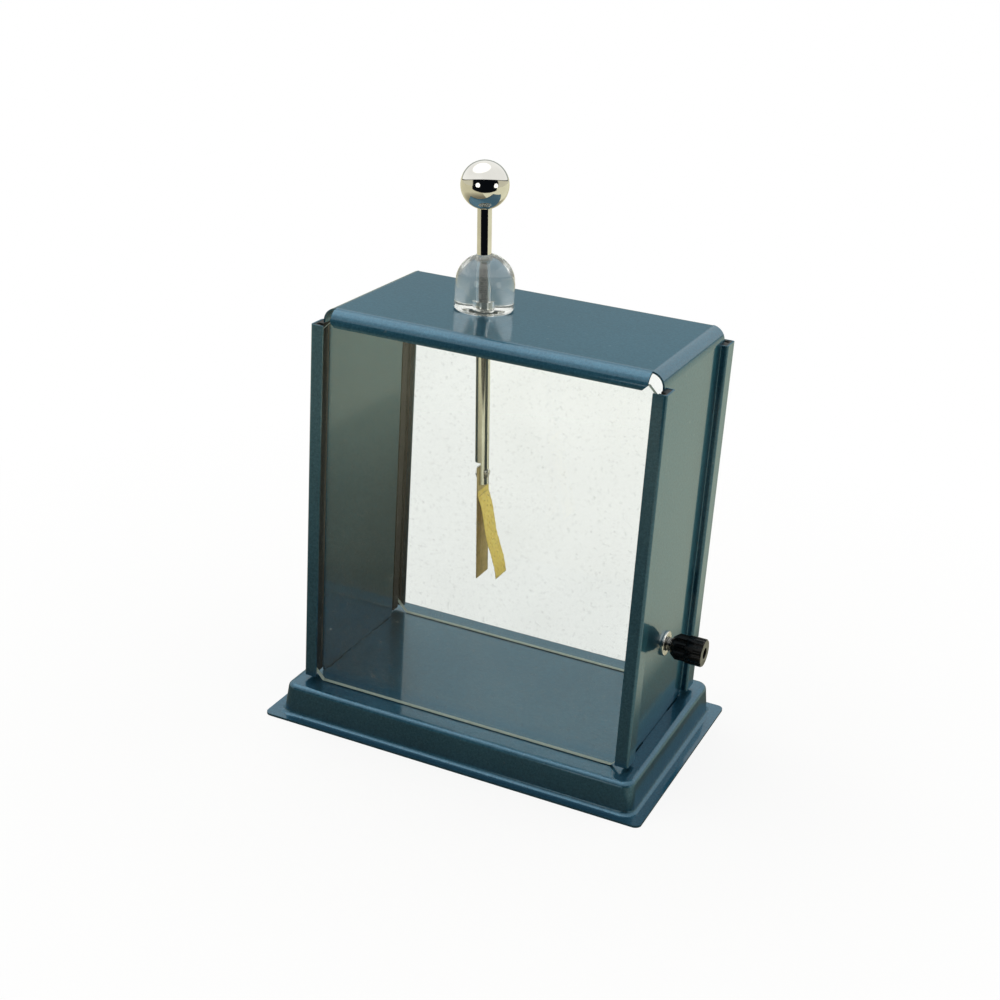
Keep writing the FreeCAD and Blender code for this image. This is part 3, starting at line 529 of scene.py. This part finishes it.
# Gold leaf: beaten leaf cut with scissors, its top edge gummed to the plate and the rest
# hanging free. It is crinkled all over, and its cut edges wander.
def make_gold():
    """Crinkled gold, with brown spots that grow from a height of 100 mm down to 72 mm."""
    material, place = new_finish("gold_leaf")
    crinkle = place.noise(900, detail=5, roughness=0.6)
    creases = place.noise(320, detail=3)
    tone = (crinkle * 0.6 + creases * 0.4).over(0.36, 0.62)
    height = place.node("SeparateXYZ", {0: place}, out=2)
    spots = place.noise(1500, detail=2).over(0.60, 0.70) * height.over(0.100, 0.072)
    colour = tone.blend(rgb(0.94, 0.69, 0.16), rgb(1.0, 0.82, 0.24))
    principled(place, {
        "Base Color": (spots * 0.7).blend(colour, rgb(0.34, 0.22, 0.07)),
        "Metallic": 0.7,
        "Roughness": 0.2 + crinkle * 0.2,
        "Normal": place.bump(crinkle * 0.7 + creases * 0.3, 0.0001),
    })
    return material


LEAF_WIDTH = 11 * MM
LEAF_LENGTH = 38 * MM
FOLD_HEIGHT = 2.5 * MM
FOLD_TOP = -79.9 * MM
HINGE_GAP = 0.15 * MM
PLATE_FACE = 0.7 * MM
FOLD_LIFT = 0.06 * MM
LEAF_LIFT = 0.15 * MM
LEAF_TILT = math.radians(13.6)
LEAF_WAVE = 0.35 * MM
LEAF_SHEET = 0.05 * MM
CRINKLE = 0.1 * MM
EDGE_WANDER = 0.12 * MM


def crinkle(across, down, size):
    """Shallow crossing ridges, the sum of four sine waves in different directions."""
    waves = [(1.9, 0.7, 0.4), (-1.1, 1.6, 2.1), (0.6, 2.9, 4.0), (2.6, -2.2, 5.2)]
    heights = [np.sin((a * across + b * down) / MM + start) for a, b, start in waves]
    return size * sum(heights) / len(waves)


def leaf_sheet(name, body, length, top, tilt, wave, lift):
    """A strip whose middle line tilts away from the plate and waves one and a half times.

    Both edges wander together, by the product of a short and a long sine wave.
    """
    down, across = np.meshgrid(
        np.linspace(0, length, 150), np.linspace(-0.5, 0.5, 44), indexing="ij"
    )
    wander = EDGE_WANDER * np.sin(down / MM * 1.3) * np.sin(down / MM * 0.41 + 1)
    across = across * (LEAF_WIDTH - 2 * EDGE_WANDER) + wander * np.sign(across)
    ease = np.minimum(1, down / MM)
    off = wave * np.sin(3 * math.pi * down / length) + crinkle(across, down, CRINKLE) * ease
    out = lift + down * math.sin(tilt) + off * math.cos(tilt)
    along = top - down * math.cos(tilt) + off * math.sin(tilt)
    piece = grid_piece(
        name, on_rod(out, across, along), body, gold, loop=False, around=False
    )
    wall = piece.modifiers.new("thickness", "SOLIDIFY")
    wall.thickness = LEAF_SHEET
    wall.offset = 0
    return piece


gold = make_gold()
fold = leaf_sheet(
    "gummed_fold", "instrument", FOLD_HEIGHT, FOLD_TOP, 0, 0, PLATE_FACE + FOLD_LIFT
)
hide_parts("leaf_fold")
hanging = leaf_sheet(
    "hanging_leaf", "leaf", LEAF_LENGTH, FOLD_TOP - FOLD_HEIGHT - HINGE_GAP, LEAF_TILT, LEAF_WAVE,
    PLATE_FACE + LEAF_LIFT,
)
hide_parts("gold_leaf")

# Earth terminal: an M6 nickelled stem with a socket for a 4 mm plug, clamped through the side
# panel between a turned ring outside and a lock washer and nut inside.
ring_low, ring_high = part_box("terminal_washer")
stem_low, stem_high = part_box("terminal_stem")
PANEL_X = ring_low.x
TERMINAL_HEIGHT = (ring_low.z + ring_high.z) / 2
RING_RADIUS = (ring_high.z - ring_low.z) / 2
RING_THICKNESS = ring_high.x - ring_low.x
RING_HOLE = 3.2 * MM
STEM_LENGTH = stem_high.x - PANEL_X
STEM_TAIL = PANEL_X - stem_low.x
STEM_CHAMFER = 0.4 * MM
STEM_RADIUS = 3 * MM
SOCKET_RADIUS = 2 * MM
SOCKET_DEPTH = 12 * MM
SOCKET_EDGE = 0.2 * MM
STEM_PITCH = 1 * MM
STEM_THREAD = 0.3 * MM


def on_terminal(up, across, out):
    """Points about the terminal's axis, measured outwards from the side panel."""
    up, across, out = np.broadcast_arrays(up, across, out)
    return np.stack([PANEL_X + out, across, TERMINAL_HEIGHT + up], axis=-1)


def stem_rows(angle):
    """A stem whose radius dips once in each pitch along a helix, with a plain socket inside."""
    rows = int((STEM_LENGTH + STEM_TAIL) / STEM_PITCH * 10)
    out = np.linspace(-STEM_TAIL, STEM_LENGTH, rows)[:, None] + 0 * angle
    wave = 0.5 - 0.5 * np.cos(math.tau * out / STEM_PITCH - angle)
    radius = STEM_RADIUS - STEM_THREAD * wave
    chamfer = np.minimum(out + STEM_TAIL, STEM_LENGTH - out)
    radius = np.minimum(radius, STEM_RADIUS - STEM_CHAMFER + chamfer)
    socket = np.array([
        (SOCKET_RADIUS + SOCKET_EDGE, STEM_LENGTH), (SOCKET_RADIUS, STEM_LENGTH - SOCKET_EDGE),
        (SOCKET_RADIUS, STEM_LENGTH - SOCKET_DEPTH), (0, STEM_LENGTH - SOCKET_DEPTH),
    ])
    radius = np.concatenate([0 * angle[None], radius, socket[:, :1] + 0 * angle])
    out = np.concatenate([out[:1], out, socket[:, 1:] + 0 * angle])
    return on_terminal(radius * np.cos(angle), radius * np.sin(angle), out)


# Painted shade and painted reflection of the black cap: the stem's thread between ring and cap is
# coloured far darker than nickel.
painted_dark_nickel = make_nickel("nickel_thread_painted_dark", (0.10, 0.11, 0.11), (0.24, 0.24, 0.23))
stem = grid_piece(
    "threaded_stem", stem_rows(turns(72)), "instrument", painted_dark_nickel, loop=False
)
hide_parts("terminal_stem")
ring_profile = rounded([
    (RING_HOLE, 0, 0.1 * MM), (RING_RADIUS, 0, 0.2 * MM), (RING_RADIUS, RING_THICKNESS, 0.5 * MM),
    (RING_HOLE, RING_THICKNESS, 0.15 * MM),
])
ring = turned("panel_ring", ring_profile, nickel, place=on_terminal, loop=True)
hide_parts("terminal_washer")
for name in ("terminal_lock_washer", "terminal_nut"):
    dress(nodes[name], nickel)


# Terminal cap: moulded in glossy black plastic round a brass thread insert, with deep flutes
# for the fingers, shallow ones round its rim and a hole in its end for the plug.
def make_black_plastic():
    material, place = new_finish("black_plastic")
    mould = place.noise(1100, detail=3)
    wear = place.noise(240, detail=4).over(0.5, 0.75)
    principled(place, {
        "Base Color": wear.blend(rgb(0.002, 0.002, 0.002), rgb(0.005, 0.005, 0.005)),
        "Roughness": 0.16 + wear * 0.2 + mould * 0.06,
        "Specular IOR Level": 0.22,
        "Normal": place.bump(mould, 0.00001),
    })
    return material


def make_plain_brass():
    material, place = new_finish("plain_brass")
    rings = place.scaled(1.0, 0.05, 0.05).noise(3000)
    principled(place, {
        "Base Color": rings.over(0.3, 0.7).blend(rgb(0.55, 0.38, 0.14), rgb(0.70, 0.52, 0.24)),
        "Metallic": 1.0,
        "Roughness": 0.22 + rings * 0.15,
        "Normal": place.bump(rings, 0.00001),
    })
    return material


dress(nodes["terminal_insert"], make_plain_brass())

cap_low, cap_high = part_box("terminal_cap")
CAP_START = cap_low.x - PANEL_X
CAP_LENGTH = cap_high.x - cap_low.x
CAP_BORE = STEM_RADIUS + 0.1 * MM
NECK_RADIUS = 3.9 * MM
GRIP_RADIUS = 5.7 * MM
RIM_RADIUS = 6.1 * MM
NECK_LENGTH = 2.4 * MM
RIM_START = 6.6 * MM
RIM_STEP = 0.4 * MM
ENTRY_RADIUS = 2.3 * MM
ENTRY_DEPTH = 1.5 * MM
POCKET_RADIUS = 3.65 * MM
POCKET_START = 2.55 * MM
POCKET_END = 10.65 * MM
FLUTES = 9
FLUTE_RADIUS = 1.7 * MM
FLUTE_EDGE = 0.12 * MM
FLUTE_CHANGE = 0.8 * MM
GRIP_FLUTE = 1.4 * MM
RIM_FLUTE = 0.45 * MM


def softer_least(first, second, width):
    """The lesser of two values, passing smoothly from one to the other over a width."""
    share = np.clip(0.5 + (second - first) / (2 * width), 0, 1)
    return second + (first - second) * share - width * share * (1 - share)


def flute(angle, bottom):
    """Radius of round grooves cut to a bottom radius: the near side of a ring of circles."""
    centre = bottom + FLUTE_RADIUS
    turn = (angle * FLUTES / math.tau + 0.5) % 1 - 0.5
    off = turn * math.tau / FLUTES
    inside = FLUTE_RADIUS ** 2 - (centre * np.sin(off)) ** 2
    near = centre * np.cos(off) - np.sqrt(np.maximum(inside, 0))
    return np.where(inside > 0, near, centre)


def cap_rows(angle):
    """The cap's outside, cut by flutes, then its end, its plug hole and the insert's pocket.

    The flutes' radius passes from the grip's to the rim's over the change, and wherever it is
    less than the outside's, the outside follows it.
    """
    outside = rounded([
        (NECK_RADIUS, 0, 0.25 * MM), (GRIP_RADIUS, NECK_LENGTH, 0.5 * MM),
        (GRIP_RADIUS, RIM_START, 0.1 * MM), (RIM_RADIUS, RIM_START + RIM_STEP, 0.2 * MM),
        (RIM_RADIUS, CAP_LENGTH, 0.5 * MM), (ENTRY_RADIUS, CAP_LENGTH, 0.3 * MM),
        (ENTRY_RADIUS, 0, 0),
    ])[:6 * ARC_STEPS]
    out = np.linspace(0, 1, len(outside) * 4)
    steps = np.linspace(0, 1, len(outside))
    radius = np.interp(out, steps, outside[:, 0])[:, None]
    along = np.interp(out, steps, outside[:, 1])[:, None]
    grip = flute(angle, GRIP_RADIUS - GRIP_FLUTE)
    rim = flute(angle, RIM_RADIUS - RIM_FLUTE)
    share = np.clip((along - RIM_START) / FLUTE_CHANGE, 0, 1)
    limit = grip * (1 - share) + rim * share
    radius = np.where(along < CAP_LENGTH, softer_least(radius, limit, FLUTE_EDGE), radius)
    inside = np.array([
        (ENTRY_RADIUS, CAP_LENGTH - ENTRY_DEPTH), (CAP_BORE, CAP_LENGTH - ENTRY_DEPTH),
        (CAP_BORE, POCKET_END), (POCKET_RADIUS, POCKET_END), (POCKET_RADIUS, POCKET_START),
        (CAP_BORE, POCKET_START), (CAP_BORE, 0),
    ])
    radius = np.concatenate([radius + 0 * angle, inside[:, :1] + 0 * angle])
    along = np.concatenate([along + 0 * angle, inside[:, 1:] + 0 * angle])
    return on_terminal(radius * np.cos(angle), radius * np.sin(angle), CAP_START + along)


cap = grid_piece(
    "fluted_cap", cap_rows(turns(252)), "cap", make_black_plastic(), crease=50
)
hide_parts("terminal_cap")


# Camera: the photograph's viewpoint, found from the edges of the case and the base.
AZIMUTH = math.radians(23.49)
ELEVATION = math.radians(22.88)
ROLL = math.radians(3.82)
DISTANCE = 0.7286
TARGET = Vector((-0.01356, 0.01763, 0.0941))
FOCAL_PIXELS = 1631.8
MIDDLE_PIXEL = (500.7, 502.7)
IMAGE_PIXELS = 1000
back = Vector((
    math.sin(AZIMUTH) * math.cos(ELEVATION), -math.cos(AZIMUTH) * math.cos(ELEVATION),
    math.sin(ELEVATION),
))
right = (-back).cross(Vector((0, 0, 1))).normalized()
up = right.cross(-back)
tilted_right = math.cos(ROLL) * right + math.sin(ROLL) * up
tilted_up = math.cos(ROLL) * up - math.sin(ROLL) * right
camera_data = bpy.data.cameras.new("photo_view")
camera = bpy.data.objects.new("photo_view", camera_data)
bpy.context.scene.collection.objects.link(camera)
turn = Matrix((tilted_right, tilted_up, back)).transposed()
camera.matrix_world = Matrix.Translation(TARGET + back * DISTANCE) @ turn.to_4x4()
camera_data.lens = FOCAL_PIXELS * camera_data.sensor_width / IMAGE_PIXELS
camera_data.shift_x = 0.5 - MIDDLE_PIXEL[0] / IMAGE_PIXELS
camera_data.shift_y = MIDDLE_PIXEL[1] / IMAGE_PIXELS - 0.5
camera_data.clip_start = 0.01
bpy.context.scene.camera = camera

# Stage: a plain pale table top that fades into white. Gloss and clear plastic see it in painted
# beige, with painted shade close by, painted light to the right, and painted dark at the camera's
# end, where the room is dark.
TABLE_HALF = 4.0
TABLE = rgb(0.88, 0.88, 0.87)
PAINTED_SHADE_BEIGE = rgb(0.24, 0.22, 0.16)
FAR_BEIGE = rgb(0.70, 0.66, 0.47)
PAINTED_LIGHT_BEIGE = rgb(0.84, 0.82, 0.62)
DARK = rgb(0.004, 0.005, 0.007)
FRONT = Vector((math.sin(AZIMUTH), -math.cos(AZIMUTH), 0))


def make_table():
    """White to the eye, and less so close to the instrument, where its shadow falls.

    Mirrored, its colour is painted: painted shade out to 220 mm from the middle, full beige from
    500 mm, painted light beyond the right panel and painted dark from 500 mm towards the camera.
    """
    material, place = new_finish("pale_table")
    distance = place.node("VectorMath", {0: place}, out="Value", operation="LENGTH")
    forward = place.along(FRONT)
    sideways = place.node("SeparateXYZ", {0: place})
    # Painted shade close to the instrument, painted light beyond the right panel, painted dark
    # towards the camera.
    beige = distance.over(0.22, 0.50).blend(PAINTED_SHADE_BEIGE, FAR_BEIGE)
    beige = sideways.over(0.098, 0.108).blend(beige, PAINTED_LIGHT_BEIGE)
    painted_dark_end = forward.over(0.44, 0.50) * (forward - distance * 0.5).over(0, 0.03)
    mirrored = painted_dark_end.blend(beige, DARK)
    gloss = place.node("LightPath", {}, out="Is Glossy Ray")
    clear = place.node("LightPath", {}, out="Is Transmission Ray")
    lit = place.node("BsdfDiffuse", {"Color": gloss.most(clear).blend(TABLE, mirrored)})
    glow = place.node("Emission", {"Color": rgb(1, 1, 1), "Strength": 1.0})
    seen = place.node("LightPath", {}, out="Is Camera Ray")
    faded = (distance.over(0.16, 0.40) * 0.15 + 0.85) * seen
    mixed = place.node("MixShader", {"Fac": faded, 1: lit, 2: glow})
    place.node("OutputMaterial", {"Surface": mixed})
    return material


table_mesh = bpy.data.meshes.new("table")
table_corners = [(-1, -1), (1, -1), (1, 1), (-1, 1)]
table_mesh.from_pydata(
    [(x * TABLE_HALF, y * TABLE_HALF, 0) for x, y in table_corners], [], [(0, 1, 2, 3)]
)
table = bpy.data.objects.new("table", table_mesh)
bpy.context.scene.collection.objects.link(table)
dress(table, make_table())

# Light: a white tent over the table, brighter overhead and open towards the camera, where the
# room is dark but for two round lamps. Below the tent's dark edge the room is beige. The eye
# sees plain white instead, and matt surfaces get three quarters of the light.
TENT = rgb(1.15, 1.15, 1.12)
OVERHEAD = rgb(2.3, 2.3, 2.25)
OVERHEAD_SIDE = Vector((-0.30, 0.05, 0.95)).normalized()
TENT_EDGE = rgb(0.03, 0.03, 0.03)
TENT_SLOPE = 0.372
TENT_LEAN = 0.051
BEIGE = rgb(0.74, 0.71, 0.55)
FAR_WALL = rgb(0.42, 0.46, 0.44)
LAMP_GLOW = rgb(1.8, 1.8, 1.7)
LAMP_OUTSIDE = math.cos(math.radians(11.2))
LAMP_INSIDE = math.cos(math.radians(9.8))
LAMPS_IN_BALL = [(-0.285, -0.11), (0.463, -0.119)]
DIFFUSE_LOSS = 0.25
world = bpy.data.worlds.new("pale_surround")
world.use_nodes = True
world.node_tree.nodes.clear()
coordinates = world.node_tree.nodes.new("ShaderNodeTexCoord")
towards = Wire(world.node_tree, coordinates.outputs["Generated"])


def seen_in_ball(across, upwards):
    """The direction that a ball mirrors at this place on its disc, measured in radii."""
    depth = math.sqrt(1 - across ** 2 - upwards ** 2)
    return (
        2 * depth * across * tilted_right + 2 * depth * upwards * tilted_up
        + (2 * depth ** 2 - 1) * back
    )


# Thresholds on a single direction are cosines of angles from it. Rise is how far a direction
# reaches over the tent's sloping edge.
height = towards.along((0, 0, 1))
forward = towards.along(FRONT)
sideways = towards.along(right)
rise = height - forward * TENT_SLOPE - sideways * TENT_LEAN
behind = (0 - towards.along(back)).over(0.69, 0.74)
tent = rise.over(0.275, 0.29) * (1 - behind)
tent_edge = rise.over(0.235, 0.255) * (1 - behind)
room = tent_edge.blend(behind.blend(BEIGE, FAR_WALL), TENT_EDGE)
dark = forward.over(0.30, 0.36) * height.over(-0.38, -0.33)
dark = dark * (1 - sideways.over(0.90, 0.94)) * (1 - (0 - sideways).over(0.82, 0.87))
overhead = towards.along(OVERHEAD_SIDE).over(0.84, 0.92)
surround = tent.blend(dark.blend(room, DARK), overhead.blend(TENT, OVERHEAD))
for across, upwards in LAMPS_IN_BALL:
    lamp = towards.along(seen_in_ball(across, upwards)).over(LAMP_OUTSIDE, LAMP_INSIDE)
    surround = lamp.blend(surround, LAMP_GLOW)
seen = towards.node("LightPath", {}, out="Is Camera Ray")
surround = seen.blend(surround, rgb(1, 1, 1))
spread = towards.node("LightPath", {}, out="Is Diffuse Ray")
strength = 1 - spread * DIFFUSE_LOSS
sky = towards.node("Background", {"Color": surround, "Strength": strength})
towards.node("OutputWorld", {"Surface": sky})
bpy.context.scene.world = world
bpy.context.scene.view_settings.view_transform = "Standard"
